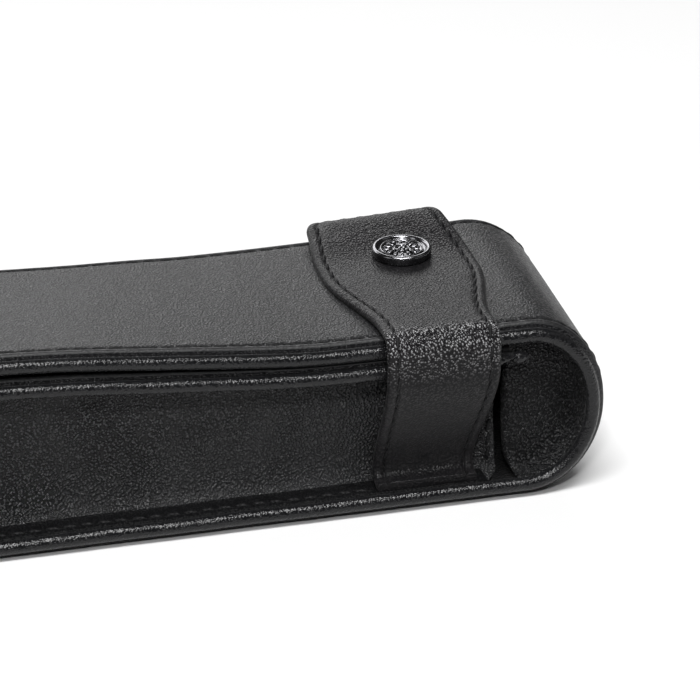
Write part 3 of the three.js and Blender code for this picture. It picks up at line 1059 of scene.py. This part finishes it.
def emblem_piece(base):
    """Generic ornament: a bead, two rings and a sunburst of even rays."""
    shapes = [(turned_points(BEAD_PROFILE, base, 40), loft_faces(len(BEAD_PROFILE), 40))]
    for radius, width in ((1.3, 0.17), (3.85, 0.2)):
        profile = ring_profile(radius, width, 1.0, 0.5)
        shapes.append((turned_points(profile, base, 72), loft_faces(len(profile), 72)))
    for k in range(RAYS):
        shapes.append((ray_points(2 * math.pi * k / RAYS, base), loft_faces(len(RAY_STATIONS), 4)))
    points = []
    faces = []
    for shape_points, shape_faces in shapes:
        start = len(points)
        points += shape_points
        faces += [tuple(start + v for v in face) for face in shape_faces]
    return make_piece("snap_emblem", points, faces, [GUNMETAL])


# (radius, height over the tab's underside): the pin through the tab and the socket round it
PIN_PROFILE = [(0.01, -0.3), (0.8, -0.33), (1.35, -0.22), (1.45, 0.0), (1.2, 0.2), (1.2, 2.3),
               (0.01, 2.3)]
SOCKET_PROFILE = [(1.5, 0.3), (1.5, -0.12), (3.3, -0.16), (3.55, -0.3), (3.9, -0.38), (4.3, -0.34),
                  (4.6, -0.1), (4.65, 0.3)]
CAP_GAP = 0.1


def build_snap():
    base = FOLD_TOP + STRAP_THICK / 2 + CAP_GAP
    cap = turned_piece("snap_cap_turned", cap_profile(), base, GUNMETAL)
    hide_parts("snap_cap")
    emblem = emblem_piece(base)
    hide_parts("snap_inlay")
    under = FOLD_TOP - STRAP_THICK / 2
    pin = turned_piece("snap_pin", PIN_PROFILE, under, NICKEL, 40)
    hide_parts("snap_stem")
    socket = turned_piece("snap_socket_ring", SOCKET_PROFILE, under, NICKEL)
    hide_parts("snap_socket")
    for obj in (cap, emblem, pin, socket):
        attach(obj, "strap_tab")
    for node in ("snap_stud", "snap_post"):
        frame["nodes"][node].material_slots[0].material = NICKEL


# Stage ---------------------------------------------------------------------

FLOOR_HALF = 6.0
WORLD_LIGHT = 0.06


def build_stage():
    """A pale paper floor and a faint white surround."""
    mesh = bpy.data.meshes.new("studio_floor")
    corners = [(x * FLOOR_HALF, y * FLOOR_HALF, 0) for x, y in ((-1, -1), (1, -1), (1, 1), (-1, 1))]
    mesh.from_pydata(corners, [], [(0, 1, 2, 3)])
    mesh.materials.append(floor_look())
    floor = bpy.data.objects.new("studio_floor", mesh)
    bpy.context.scene.collection.objects.link(floor)
    world = bpy.data.worlds.new("studio")
    world.use_nodes = True
    background = world.node_tree.nodes["Background"]
    background.inputs["Color"].default_value = (1, 1, 1, 1)
    background.inputs["Strength"].default_value = WORLD_LIGHT
    bpy.context.scene.world = world


def soft_box(name, place, target, size, power):
    light = bpy.data.lights.new(name, "AREA")
    light.shape = "RECTANGLE"
    light.size, light.size_y = size
    light.energy = power
    obj = bpy.data.objects.new(name, light)
    obj.location = place
    obj.rotation_euler = (Vector(target) - Vector(place)).to_track_quat("-Z", "Y").to_euler()
    bpy.context.scene.collection.objects.link(obj)


LIT_POINT = (0.03, 0, 0.02)
# name: (place, (width, height), watts), in metres
LIGHTS = {
    "top_box": ((0.0, -0.36, 1.0), (0.7, 0.24), 14),
    "back_box": ((-0.25, 1.25, 0.66), (1.9, 0.5), 14),
    "front_spot": ((-0.25, -0.95, 0.85), (0.16, 0.08), 6.5),
    "left_box": ((-1.0, -0.35, 0.6), (0.4, 0.4), 1.2),
    "right_box": ((1.0, -0.3, 0.9), (0.6, 0.5), 0.5),
}


def build_lights():
    for name, (place, size, power) in LIGHTS.items():
        soft_box(name, place, LIT_POINT, size, power)


def build_camera():
    data = bpy.data.cameras.new("camera")
    data.lens = 309
    data.sensor_width = 36
    data.shift_x = 0.053
    data.shift_y = 0.0116
    data.clip_end = 20
    camera = bpy.data.objects.new("camera", data)
    camera.location = (-0.2305, -0.9583, 0.4921)
    camera.rotation_euler = Euler((math.radians(64.693), 0, math.radians(-15.385)), "XYZ")
    bpy.context.scene.collection.objects.link(camera)
    bpy.context.scene.camera = camera


flap_shell = build_shell()
build_shell_thread(flap_shell)
build_gussets()
build_divider()
build_strap()
build_snap()
build_stage()
build_lights()
build_camera()
bpy.context.scene.view_settings.view_transform = "Standard"
